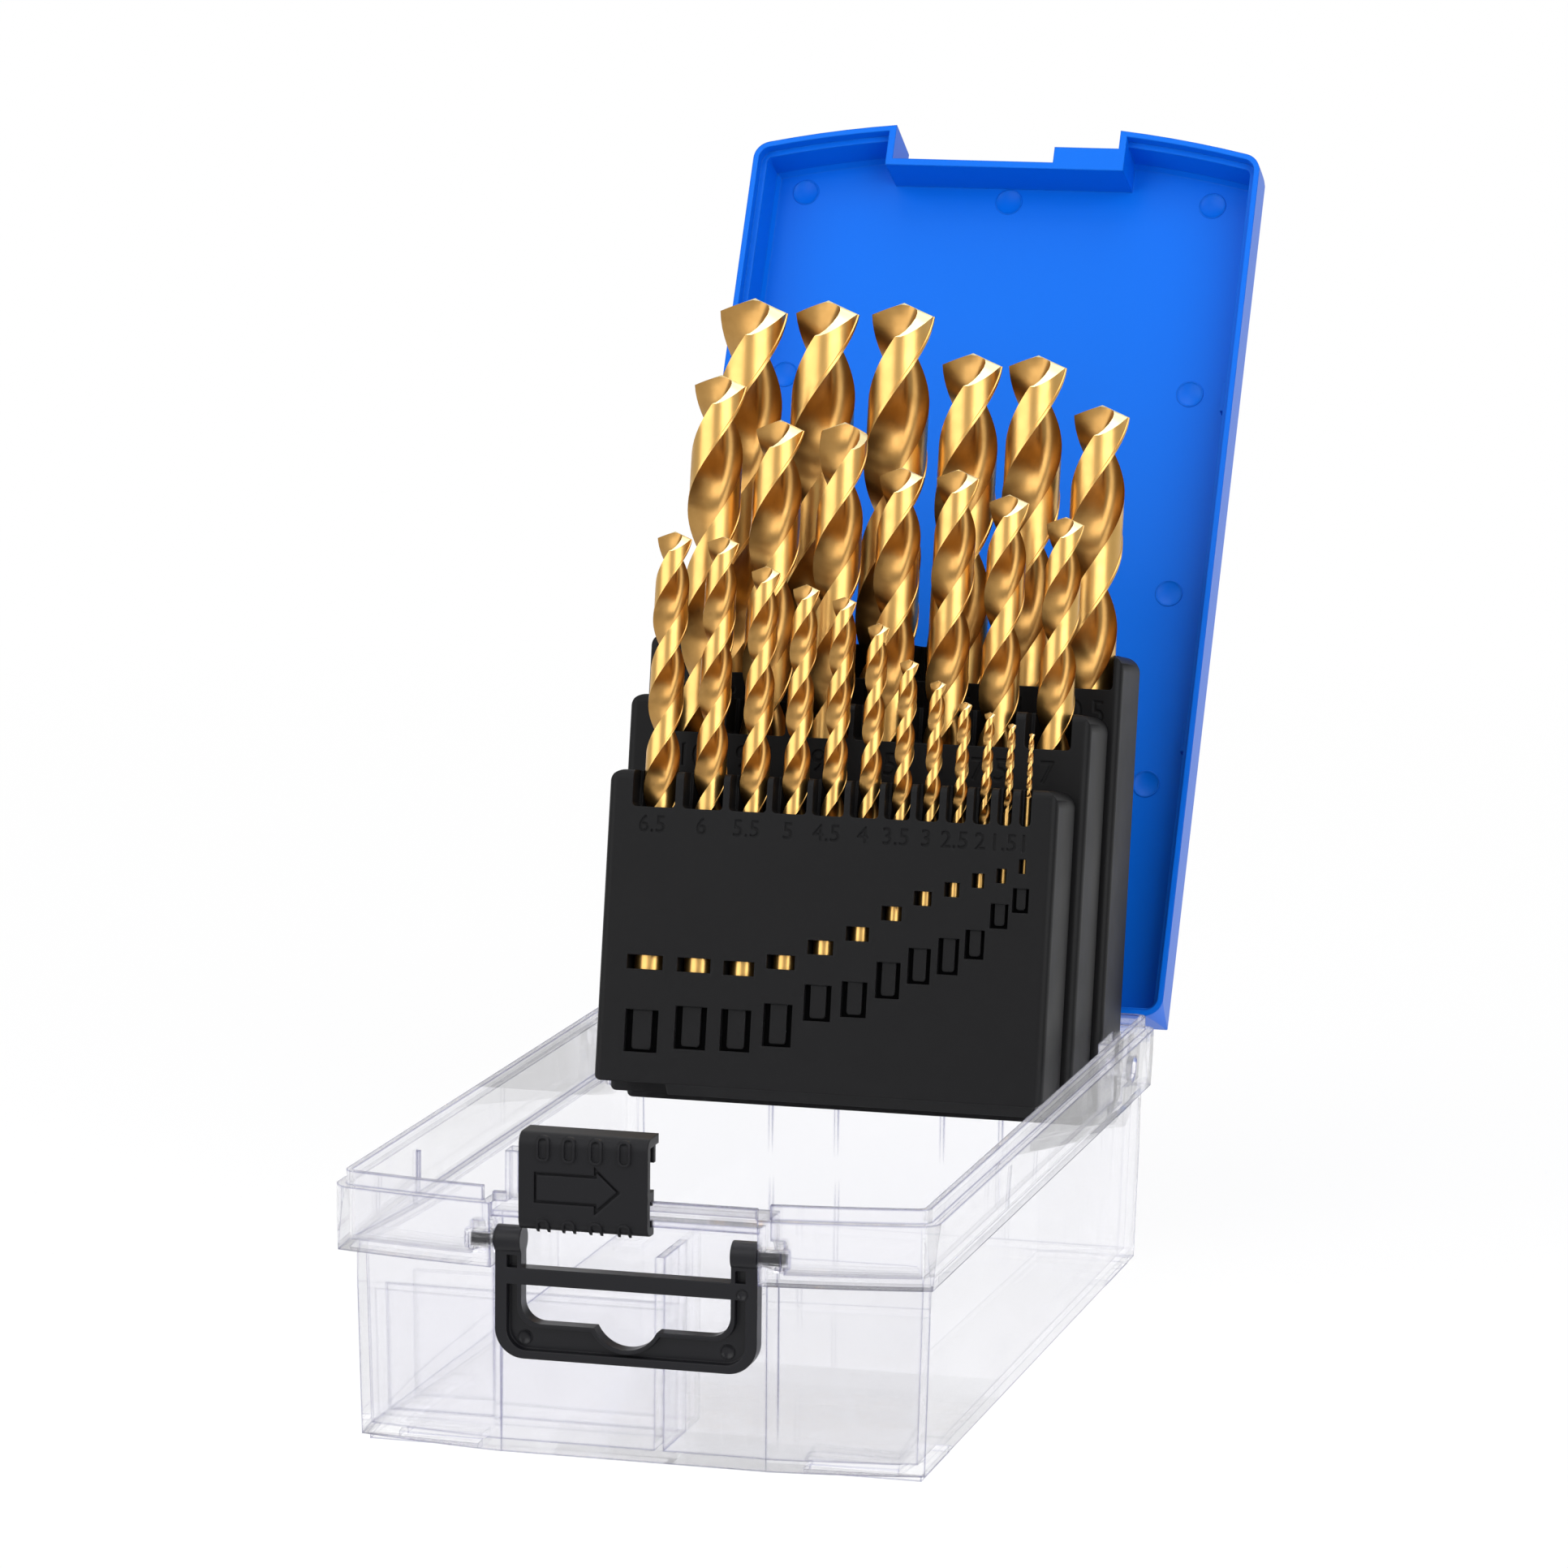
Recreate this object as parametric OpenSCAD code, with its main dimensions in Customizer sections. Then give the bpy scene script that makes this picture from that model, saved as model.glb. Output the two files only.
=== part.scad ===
// Drill bit case, shown open: a clear base box with a sliding latch and a carry handle,
// a hinged lid, and a folding magazine of three holders that carries 25 twist drills.
// The front is at -Y. The origin is on the surface that the case stands on, in the middle
// of the ground that the open case covers.

/* [Base box] */
// Width across the flange
case_w = 104; // [103:1:108]
// Length of the flange's side
case_l = 178; // [176:1:186]
// How far the front edge bows out in the middle
crown = 6.3; // [6:0.1:7]
// Radius of the flange's corners, seen from above
corner_r = 4; // [3:0.5:5]
// Height of the feet
foot_h = 1.2; // [1:0.1:1.6]
// Length of a foot along the wall
foot_l = 20; // [15:1:25]
// Thickness of the floor
floor_t = 1.8; // [1.6:0.1:2]
// Thickness of the box wall
wall_t = 1.6; // [1.4:0.1:1.8]
// Height of the box wall below the flange
wall_h = 33; // [32:0.5:34]
// How far the side and rear walls stand in from the flange
side_inset = 2; // [1.8:0.1:2.2]
// How far the front wall stands in from the flange's front corners
front_inset = 6.1; // [5.8:0.1:6.4]
// Distance of the recess behind the handle from the flange's front corners
recess_in = 2.2; // [2:0.1:2.6]
// How far the walls lean inward from top to bottom
draft = 0.8; // [0.6:0.1:1]
// Height of the flange's band
flange_h = 11.1; // [10.5:0.1:11.6]
// How far the lip stands in from the flange's outer face
lip_inset = 1.6; // [1.5:0.1:1.8]
// Thickness of the lip
lip_t = 1.1; // [1:0.1:1.2]
// Height of the lip above the ledge
lip_h = 2.4; // [2:0.1:2.6]

/* [Lid] */
// Angle of the open lid from closed
lid_open = 117.3; // [110:0.1:120]
// Width of the lid's rim
rim_t = 1.1; // [1:0.1:1.2]
// Thickness of the lid's wall above its rim step
lid_wall_t = 2.2; // [2.1:0.1:2.6]
// Thickness of the lid's floor
lid_floor_t = 1.6; // [1.4:0.1:1.8]
// How far the lid's walls lean inward from rim to floor
lid_taper = 1; // [0.8:0.1:1.2]
// Width of the bevel between the lid's walls and floor
lid_bevel = 1.2; // [0.8:0.1:1.6]
// Width of the notch in the lid's front wall
notch_w = 45.8; // [45:0.1:46.2]
// Width of the catch that the latch holds
catch_w = 13; // [11:0.5:14]

/* [Hinge] */
// Distance of the hinge axis behind the flange
hinge_back = 2.4; // [2.3:0.1:2.7]
// Distance of the hinge axis below the ledge
hinge_drop = 1; // [0.8:0.1:1.2]
// Diameter of the knuckles
knuckle_d = 4.2; // [4:0.1:4.3]
// Diameter of the hinge pin
hinge_pin_d = 2.2; // [2:0.1:2.4]
// Width of the whole row of knuckles
hinge_w = 76; // [70:1:80]

/* [Latch and handle] */
// Width of the latch's face
latch_w = 22.1; // [21:0.1:23]
// Thickness of the latch's walls
latch_t = 1.6; // [1.4:0.1:1.8]
// Width of the handle
handle_w = 45; // [44:0.1:45.2]
// Height of the handle from its ears to its bottom
handle_h = 22.3; // [21:0.1:24]
// Thickness of the handle
handle_t = 3; // [2.6:0.1:3.2]
// Width of the handle's side bars
handle_bar = 4.5; // [4.2:0.1:4.8]
// Diameter of the handle's pegs
peg_d = 3.1; // [2.8:0.1:3.4]

/* [Magazine] */
// Lean of the open magazine behind upright
stand_lean = 10; // [8:0.5:11]
// Depth of the front holder
front_depth = 15; // [14.5:0.1:15.4]
// Depth of the middle holder
mid_depth = 15.5; // [15:0.1:16]
// Depth of the back holder
back_depth = 16.5; // [16.2:0.1:17]
// Gap between neighbouring holders
holder_gap = 2; // [1.8:0.1:2.2]
// Height of the front holder
front_h = 57.5; // [56:0.5:59]
// Height of the middle holder's top above the front holder's bottom
mid_top = 72; // [70:0.5:74]
// Height of the back holder's top above the front holder's bottom
back_top = 84; // [82:0.5:86]
// How far each holder is wider at each side than the one before it
holder_step = 1.7; // [1.5:0.1:1.9]
// Thickness of the wall in front of the drills
skin_t = 1.5; // [1.3:0.1:1.8]
// Rounding of the holders' edges
holder_r = 3; // [2:0.5:4]
// Diameter of the magazine's pivot pins
pivot_d = 3; // [2.6:0.1:3.2]

/* [Drills] */
// Diameter of the thickest drill
drill_max = 13; // [12.8:0.1:13]
// Step in diameter from one drill to the next
drill_step = 0.5; // [0.49:0.01:0.5]
// Length of the longest drill
drill_len = 151; // [149:0.5:152]
// Full angle of the drills' points, in degrees
point_angle = 135; // [118:1:140]
// Angle of the flutes to the drills' axes, in degrees
helix = 33; // [28:1:36]
// Width of a land between two flutes, in degrees round the axis
land_w = 72; // [65:1:80]

/* [Hidden] */
$fn = 48;
// One overrun serves all cuts
over = 1;
// Clearance of a turning or sliding fit, at each side
fit = 0.05;
// Gap between parts that pass or meet without rubbing
pass = 0.3;
// Least radius of an inner corner
least_r = 0.4;
// Shares of the row's half width at which the drills stand
front_place_shares = [-0.793, -0.572, -0.37, -0.184, -0.011, 0.15, 0.296, 0.43, 0.556, 0.669, 0.77, 0.86];
mid_place_shares = [-0.716, -0.442, -0.161, 0.101, 0.346, 0.574, 0.821];
back_place_shares = [-0.677, -0.36, -0.036, 0.269, 0.546, 0.826];
// Shares of the longest drill's length
front_len_shares = [0.669, 0.616, 0.616, 0.57, 0.53, 0.497, 0.464, 0.404, 0.377, 0.325, 0.265, 0.225];
mid_len_shares = [0.881, 0.828, 0.828, 0.775, 0.775, 0.722, 0.722];
back_len_shares = [1, 1, 1, 0.94, 0.94, 0.881];
// Shares of the front holder's height at which its drills stand, and its windows and recesses start
front_seat_shares = [0.014, 0.144, 0.054, 0.122, 0.193, 0.2, 0.176, 0.271, 0.278, 0.386, 0.511, 0.588];
window_shares = [0.363, 0.362, 0.36, 0.388, 0.442, 0.492, 0.563, 0.616, 0.649, 0.682, 0.701, 0.734];
recess_shares = [0.097, 0.115, 0.117, 0.141, 0.23, 0.249, 0.315, 0.367, 0.402, 0.456, 0.557, 0.61];
recess_h_shares = [0.136, 0.137, 0.134, 0.136, 0.115, 0.113, 0.115, 0.113, 0.115, 0.092, 0.078, 0.077];
// Share of the middle holder's height by which each of its drills stands higher
mid_seat_shares = [0, 0, 0, 0, 0, 0.05, 0];
// Half width of a twist drill's web, as a share of its radius
web_share = 0.25;
// Shares of a drill's radius at which its fluted part and its point are drawn
body_share = 0.97;
point_share = 0.93;
// Share of a drill's length that is fluted, and the plain length taken off it
flute_share = 0.76;
flute_loss = 14;

// Heights and depths of the base
floor_top = foot_h + floor_t;
flange_z = foot_h + wall_h;
ledge_z = flange_z + flange_h;
lip_z = ledge_z + lip_h;
shelf_t = floor_t;
inner_inset = lip_inset + lip_t;

// The magazine's own frame: s runs up along the drills from the front holder's bottom,
// and c runs back from the front holder's face
mid_c = front_depth + holder_gap;
back_c = mid_c + mid_depth + holder_gap;
stack_c = back_c + back_depth;
mid_drop = 2.3;
back_drop = 4;
// Thickness under the drills of the middle and back holders
seat_t = 1.7;
stack_clear = 1.1;
pivot_wall = 0.8;
pivot_c = back_c + pivot_d / 2 + pivot_wall;
pivot_s = 7.1;
pivot_z = floor_top + stack_clear + pivot_c;

// Heights of the lid as closed
rim_inset = 0.3;
rim_gap = 0.2;
rim_z = ledge_z + rim_gap;
lid_top_z = pivot_z + stack_c - pivot_c + stack_clear + lid_floor_t;
step_z = lip_z + pass;
hinge_z = ledge_z - hinge_drop;

// How far the open lid reaches behind the flange, and the places that follow from it
lid_reach = hinge_back - (case_l + hinge_back + crown - rim_inset - lid_taper) * cos(lid_open)
    + (lid_top_z - hinge_z) * sin(lid_open);
front_y = (crown - case_l - lid_reach) / 2;
rear_y = front_y + case_l;
hinge_y = rear_y + hinge_back;
// The front edge is an arc about this centre
arc_r = (case_w * case_w / 4 + crown * crown) / (2 * crown);
arc_y = front_y - crown + arc_r;

// The front recess holds the rail, the latch and the handle
handle_gap = 0.4;
recess_w = handle_w + 2 * handle_gap;
recess_y = front_y + recess_in;
rail_out = 4.3;
rail_y = front_y - rail_out;
rail_t = 1.5;
bead_t = 1.2;
bead_up = 1.8;
bead_down = 0.9;
bead_foot_z = ledge_z - rail_t - bead_down;
bead_top_z = ledge_z + bead_up;

// Places and widths of the magazine
pivot_in = 20;
pivot_y = rear_y - pivot_in;
tab_t = 3.1;
tab_w = 13;
tab_gap = 0.45;
back_half = case_w / 2 - inner_inset - tab_t - tab_gap;
mid_half = back_half - holder_step;
front_half = mid_half - holder_step;
hole_clear = 0.15;
rear_chamfer = 5;
// How far the pivot pins reach into the back holder
pin_in = 2.4;

// Notch and catch of the lid, and its knuckles
notch_in = 2.45;
notch_y = front_y + notch_in;
notch_t = 1.4;
knuckle_n = 5;
knuckle_pitch = hinge_w / knuckle_n;
catch_x = notch_w / 2 - catch_w;
catch_t = 1.8;
catch_out = 0.9;
catch_y = front_y - catch_out;

// Latch and handle
latch_x1 = 4.5;
latch_x0 = latch_x1 - latch_w;
latch_y = rail_y - fit - latch_t;
latch_foot_z = bead_foot_z - fit - latch_t;
latch_top_z = lid_top_z - rim_gap / 2;
catch_top_z = latch_top_z - latch_t - pass;
stub_w = 2.3;
stub_gap = 0.5;
stub_h = 8.9;
handle_y = front_y - handle_t / 2;
handle_top = 2.4;
handle_z = latch_foot_z - rim_gap - handle_top;
peg_l = 3.8;

function total(share) = drill_len * share;
function flute(len) = len * flute_share - flute_loss;
function drill_name(d) = str("drill_", floor(d), d - floor(d) > 0.1 ? "_5" : "");
back_n = len(back_place_shares);
mid_n = len(mid_place_shares);
front_n = len(front_place_shares);
drill_n = back_n + mid_n + front_n;
// The names follow the nominal sizes from 13 down to 1
drill_names = [for (i = [0:drill_n - 1]) drill_name((26 - i) / 2)];

// Outline of the case seen from above, moved in by inset on every side, and at the front by back more
module plan(inset, back = 0) {
    half = case_w / 2 - inset;
    r = max(corner_r - inset, least_r);
    big = arc_r - inset;
    cx = half - r;
    cy = arc_y + back - sqrt((big - r) * (big - r) - cx * cx);
    tangent_x = cx * big / (big - r);
    rear = rear_y - inset;
    intersection() {
        translate([0, arc_y + back]) circle(big, $fn = 720);
        union() {
            translate([-tangent_x, front_y - crown]) square([2 * tangent_x, crown + case_l / 2]);
            translate([-half, cy]) square([2 * half, rear - r - cy]);
            translate([-cx, rear_y - case_l / 2]) square([2 * cx, case_l / 2 - inset]);
            for (x = [-cx, cx], y = [cy, rear - r]) translate([x, y]) circle(r);
        }
    }
}

// A prism between two heights whose sides lean from one inset to the other
module leaning(z0, z1, in0, in1) {
    w0 = case_w / 2 - in0;
    w1 = case_w / 2 - in1;
    intersection() {
        translate([0, case_l, 0]) rotate([90, 0, 0]) linear_extrude(2 * case_l)
            polygon([[-w0, z0], [w0, z0], [w1, z1], [-w1, z1]]);
        translate([-case_w, 0, 0]) rotate([90, 0, 90]) linear_extrude(2 * case_w)
            polygon([[-case_l, z0], [rear_y - in0, z0], [rear_y - in1, z1], [-case_l, z1]]);
        translate([0, arc_y, z0]) cylinder(h = z1 - z0, r1 = arc_r - in0, r2 = arc_r - in1, $fn = 720);
        translate([0, 0, z0]) linear_extrude(z1 - z0) plan(min(in0, in1));
    }
}

// The box below the flange, with its walls moved in by t: its front bows out as the flange does,
// and is set back behind the handle
module tub(z0, z1, t) {
    side = case_w / 2 - side_inset - t;
    rear = rear_y - side_inset - t;
    back = front_inset - side_inset;
    big = arc_r - side_inset - t;
    lean = draft * (ledge_z - z0) / wall_h;
    difference() {
        intersection() {
            translate([0, case_l, 0]) rotate([90, 0, 0]) linear_extrude(2 * case_l)
                polygon([[-side + lean, z0], [side - lean, z0], [side, ledge_z], [side, z1], [-side, z1],
                    [-side, ledge_z]]);
            translate([-case_w, 0, 0]) rotate([90, 0, 90]) linear_extrude(2 * case_w)
                polygon([[-case_l, z0], [rear - lean, z0], [rear, ledge_z], [rear, z1], [-case_l, z1]]);
            translate([0, arc_y + back, z0])
                cylinder(h = z1 - z0, r1 = big - lean, r2 = big + lean * (z1 - ledge_z) / (ledge_z - z0),
                    $fn = 720);
            translate([0, 0, z0]) linear_extrude(z1 - z0) plan(side_inset + t, back);
        }
        block([-recess_w / 2 - t, recess_w / 2 + t], [front_y - crown - over, recess_y + t],
            [z0 - over, z1 + over]);
    }
}

// A block between x0 and x1, y0 and y1, z0 and z1
module block(x, y, z) {
    translate([x[0], y[0], z[0]]) cube([x[1] - x[0], y[1] - y[0], z[1] - z[0]]);
}

// A round bar along X between two places
module bar(x0, x1, y, z, d) {
    translate([x0, y, z]) rotate([0, 90, 0]) cylinder(h = x1 - x0, d = d);
}

module base_box() {
    lip_gap = notch_w / 2 + notch_t + pass;
    foot_in = 1.2;
    rib_t = 0.7;
    rib_shares = [-0.43, -0.18, 0.22, 0.44];
    flange_rib_shares = [0.21, 0.32];
    front_rib_x = 4.1;
    front_rib_t = 1.4;
    panel_back = 18;
    panel_t = 0.9;
    panel_h = 22;
    dimple_d = 4.9;
    dimple_t = 0.5;
    tab_down = 8;
    tab_z = [pivot_z - tab_down, ledge_z + lip_h / 2];
    color([0.86, 0.87, 0.93, 0.4]) difference() {
        union() {
            difference() {
                union() {
                    tub(foot_h, ledge_z, 0);
                    leaning(flange_z, ledge_z, draft, 0);
                    // lip
                    difference() {
                        translate([0, 0, ledge_z - over]) linear_extrude(lip_h + over) plan(lip_inset);
                        block([-lip_gap, lip_gap], [front_y - crown - over, recess_y + wall_t],
                            [ledge_z, lip_z + over]);
                    }
                }
                tub(floor_top, lip_z + over, wall_t);
                // hollow of the flange, which goes round the front recess
                difference() {
                    translate([0, 0, flange_z + shelf_t])
                        linear_extrude(flange_h + lip_h) plan(inner_inset);
                    block([-recess_w / 2 - wall_t, recess_w / 2 + wall_t],
                        [front_y - crown - over, recess_y + wall_t], [flange_z, lip_z + over]);
                }
                // front recess
                block([-recess_w / 2, recess_w / 2], [front_y - crown - over, recess_y],
                    [flange_z - over, lip_z + over]);
            }
            // rail of the latch
            block([-recess_w / 2 - over, recess_w / 2 + over], [rail_y, recess_y + wall_t / 2],
                [ledge_z - rail_t, ledge_z]);
            block([-recess_w / 2 - over, recess_w / 2 + over], [rail_y, rail_y + bead_t],
                [bead_foot_z, ledge_z]);
            block([pass - notch_w / 2, notch_w / 2 - pass], [rail_y, rail_y + bead_t],
                [bead_foot_z, bead_top_z]);
            block([latch_x0 - stub_gap - stub_w, latch_x0 - stub_gap], [rail_y, catch_y + stub_gap],
                [ledge_z - rail_t / 2, ledge_z + stub_h]);
            // bosses of the handle's pegs
            for (m = [0, 1]) mirror([m, 0, 0])
                bar(recess_w / 2 + wall_t / 2, recess_w / 2 + peg_l, handle_y, handle_z, 2 * peg_d);
            // bearing tabs of the magazine
            for (m = [0, 1]) mirror([m, 0, 0])
                block([case_w / 2 - inner_inset - tab_t, case_w / 2 - inner_inset + wall_t / 2],
                    [pivot_y - tab_w / 2, pivot_y + tab_w / 2], tab_z);
            // knuckles of the base
            for (i = [0:2:knuckle_n - 1]) knuckle(i) {
                bar(0, knuckle_pitch - pass, hinge_y, hinge_z, knuckle_d);
                block([0, knuckle_pitch - pass], [rear_y - wall_t / 2, hinge_y],
                    [hinge_z - knuckle_d / 2, hinge_z + hinge_drop / 2]);
            }
            // feet
            for (m = [0, 1], n = [0, 1]) mirror([m, 0, 0]) foot(n, foot_in);
            // ribs on the rear wall
            for (x = rib_shares * case_w / 2)
                block([x - rib_t / 2, x + rib_t / 2],
                    [rear_y - side_inset - wall_t - rib_t, rear_y - side_inset - wall_t / 2],
                    [floor_top - floor_t / 2, flange_z]);
            // rib behind the rail, and the low panel between it and the left wall
            block([front_rib_x - front_rib_t / 2, front_rib_x + front_rib_t / 2],
                [recess_y + wall_t / 2, front_y + panel_back],
                [floor_top - floor_t / 2, flange_z + shelf_t]);
            block([side_inset + draft + wall_t / 2 - case_w / 2, front_rib_x],
                [front_y + panel_back - panel_t, front_y + panel_back],
                [floor_top - floor_t / 2, floor_top + panel_h]);
            // ribs inside the flange, one on each side
            for (k = [0, 1]) mirror([1 - k, 0, 0]) {
                y = front_y + flange_rib_shares[k] * case_l;
                block([case_w / 2 - inner_inset - rib_t, case_w / 2 - wall_t],
                    [y - rib_t / 2, y + rib_t / 2], [flange_z + shelf_t / 2, ledge_z - wall_t]);
            }
        }
        // bores of the pegs, the magazine's pins and the hinge pin
        for (m = [0, 1]) mirror([m, 0, 0]) {
            bar(recess_w / 2 - over, recess_w / 2 + peg_l + over, handle_y, handle_z, peg_d + 2 * fit);
            bar(case_w / 2 - inner_inset - tab_t - over, case_w / 2 - inner_inset, pivot_y, pivot_z,
                pivot_d + 2 * fit);
            bar(case_w / 2 - draft - dimple_t, case_w / 2 + over, pivot_y, pivot_z, dimple_d);
        }
        bar(-hinge_w / 2 - over, hinge_w / 2 + over, hinge_y, hinge_z, hinge_pin_d + 2 * fit);
    }
}

// One foot in a corner of the floor: n picks the front or the rear
module foot(n, foot_in) {
    x1 = case_w / 2 - side_inset - draft - foot_in;
    y0 = n == 0 ? front_y + front_inset + draft + foot_in : rear_y - side_inset - draft - foot_in - foot_l;
    y1 = y0 + foot_l;
    bar_w = foot_l / 4;
    y_edge = n == 0 ? y0 : y1 - bar_w;
    block([x1 - bar_w, x1], [y0, y1], [0, foot_h + floor_t / 2]);
    block([x1 - foot_l, x1], [y_edge, y_edge + bar_w], [0, foot_h + floor_t / 2]);
}

// Moves its children to the place of one knuckle in the row
module knuckle(i) {
    translate([i * knuckle_pitch - hinge_w / 2 + pass / 2, 0, 0]) children();
}

// Turns the closed lid to where it stands open
module lid_turn() {
    translate([0, hinge_y, hinge_z]) rotate([-lid_open, 0, 0]) translate([0, -hinge_y, -hinge_z])
        children();
}

// What the notch takes from the lid, made wider by t
module notch_cut(t) {
    block([-notch_w / 2 - t, notch_w / 2 + t], [front_y - crown - over, notch_y + t],
        [rim_z - over, lid_top_z + over]);
}

module lid() {
    nub_t = 0.8;
    nub_l = 6;
    nub_shares = [0.345, 0.742];
    arm_w = knuckle_pitch - pass;
    cavity_top = lid_top_z - lid_floor_t;
    bevel_z = cavity_top - lid_bevel;
    inner = rim_inset + lid_wall_t;
    color([0.05, 0.42, 0.95]) lid_turn() difference() {
        union() {
            difference() {
                leaning(rim_z, lid_top_z, rim_inset, rim_inset + lid_taper);
                // step that takes the base's lip
                difference() {
                    translate([0, 0, rim_z - over]) linear_extrude(step_z - rim_z + over)
                        plan(rim_inset + rim_t);
                    notch_cut(notch_t);
                }
                difference() {
                    leaning(step_z - over, bevel_z, inner, inner + lid_taper / 2);
                    notch_cut(notch_t);
                }
                difference() {
                    leaning(bevel_z - fit, cavity_top, inner + lid_taper / 2, inner + lid_bevel);
                    notch_cut(notch_t);
                }
                notch_cut(0);
            }
            // catch that the latch holds
            block([catch_x, catch_x + catch_w], [catch_y, notch_y + notch_t / 2], [rim_z, catch_top_z]);
            // knuckles of the lid
            for (i = [1:2:knuckle_n - 1]) knuckle(i) {
                bar(0, arm_w, hinge_y, hinge_z, knuckle_d);
                block([0, arm_w], [hinge_y, hinge_y + knuckle_d / 2], [hinge_z, ledge_z + 2 * lip_h]);
                block([0, arm_w], [rear_y - lid_wall_t / 2 - rim_inset, hinge_y + knuckle_d / 2],
                    [ledge_z + 2 * lip_h - wall_t, ledge_z + 2 * lip_h]);
            }
            // nubs inside the right wall
            for (share = nub_shares, y = rear_y - share * case_l)
                block([case_w / 2 - inner - lid_taper / 2 - nub_t, case_w / 2 - inner + nub_t / 2],
                    [y, y + nub_l], [step_z + nub_l / 2, step_z + nub_l / 2 + 3 * nub_t]);
        }
        bar(-hinge_w / 2 - over, hinge_w / 2 + over, hinge_y, hinge_z, hinge_pin_d + 2 * fit);
    }
}

module hinge_pin() {
    color("silver") bar(-hinge_w / 2 + pass, hinge_w / 2 - pass, hinge_y, hinge_z, hinge_pin_d);
}

module latch_slider() {
    lip_w = 1;
    keep_z = bead_top_z + fit;
    keep_y = rail_y + bead_t + fit;
    // how far the upper arm's lip hangs down
    hang = 4.4;
    lip_y = catch_y - pass;
    grip_t = 0.5;
    grip_w = 2.3;
    grip_h = 4.3;
    grip_r = 1;
    grip_rim = 0.45;
    arch_h = 2.2;
    grip_shares = [0.19, 0.39, 0.6, 0.82];
    arrow_share = 0.455;
    arrow_down = 0.8;
    face_x = [latch_x0, latch_x0 + latch_w];
    color([0.12, 0.12, 0.13]) {
        difference() {
            intersection() {
                latch_edge(0);
                union() {
                    block(face_x, [latch_y, latch_y + latch_t], [latch_foot_z, latch_top_z]);
                    // lower hook under the rail's bead
                    block(face_x, [latch_y, keep_y + lip_w], [latch_foot_z, latch_foot_z + latch_t]);
                    block(face_x, [keep_y, keep_y + lip_w], [latch_foot_z, bead_foot_z + bead_down - fit]);
                    // guide above the bead
                    block(face_x, [latch_y, keep_y + lip_w], [keep_z, keep_z + latch_t]);
                    block(face_x, [keep_y, keep_y + lip_w], [keep_z - bead_up / 2, keep_z + latch_t]);
                    // upper arm that reaches over the lid's catch, and its lip in front of the catch
                    block(face_x, [latch_y, catch_y + catch_t - pass], [latch_top_z - latch_t, latch_top_z]);
                    block(face_x, [lip_y - lip_w, lip_y], [latch_top_z - hang, latch_top_z]);
                }
            }
            // engraved arrow that shows the way to push
            translate([latch_x0 + arrow_share * latch_w, 0, (latch_foot_z + latch_top_z) / 2 - arrow_down])
                upright(latch_y + grip_t, grip_t + over) difference() {
                    arrow(0);
                    arrow(grip_rim);
                }
        }
        // grip rims at the top, and arches along the bottom
        intersection() {
            latch_edge(grip_t);
            for (share = grip_shares) translate([latch_x0 + share * latch_w, 0, 0])
                upright(latch_y + latch_t / 2, latch_t) {
                    ring(grip_w, latch_top_z - pass - grip_h, latch_top_z - pass, grip_r, grip_rim);
                    ring(grip_w, latch_foot_z - grip_r, latch_foot_z + arch_h, grip_r, grip_rim);
                }
        }
    }
}

// The space inside the latch's outer faces with their rounded edges, grown by t
module latch_edge(t) {
    edge_r = 2;
    z0 = latch_foot_z - t;
    z1 = latch_top_z + t;
    depth = latch_t + 2 * rail_out;
    translate([latch_x0 - t, 0, 0]) rotate([90, 0, 90]) linear_extrude(latch_w + 2 * t) union() {
        translate([latch_y + edge_r, z0]) square([depth, z1 - z0]);
        translate([latch_y - t, latch_foot_z + edge_r])
            square([depth, latch_top_z - latch_foot_z - 2 * edge_r]);
        for (z = [latch_foot_z + edge_r, latch_top_z - edge_r])
            translate([latch_y + edge_r, z]) circle(edge_r + t);
    }
}

// A flat outline of an arrow that points along X, moved in by t
module arrow(t) {
    half = 7.4;
    shaft = 2.6;
    head = 4.1;
    neck = 2.9;
    reach = half - neck;
    slope = sqrt(1 + head * head / (reach * reach)) * t;
    side = head * (reach - t) / reach - slope;
    tip = half - slope * reach / head;
    polygon([[t - half, t - shaft], [neck + t, t - shaft], [neck + t, -side], [tip, 0],
        [neck + t, side], [neck + t, shaft - t], [t - half, shaft - t]]);
}

// A flat ring about X = 0, w wide and between two heights, with round corners
module ring(w, z0, z1, r, rim) {
    difference() {
        pad(w, z0, z1, r);
        pad(w - 2 * rim, z0 + rim, z1 - rim, r - rim);
    }
}

// A flat shape about X = 0, w wide and between two heights, with round corners
module pad(w, z0, z1, r) {
    translate([-w / 2, z0 + r]) square([w, z1 - z0 - 2 * r]);
    translate([r - w / 2, z0]) square([w - 2 * r, z1 - z0]);
    for (x = [r - w / 2, w / 2 - r], z = [z0 + r, z1 - r]) translate([x, z]) circle(r);
}

// Stands a flat shape upright, from y to the front by t
module upright(y, t) {
    translate([0, y, 0]) rotate([90, 0, 0]) linear_extrude(t) children();
}

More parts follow.
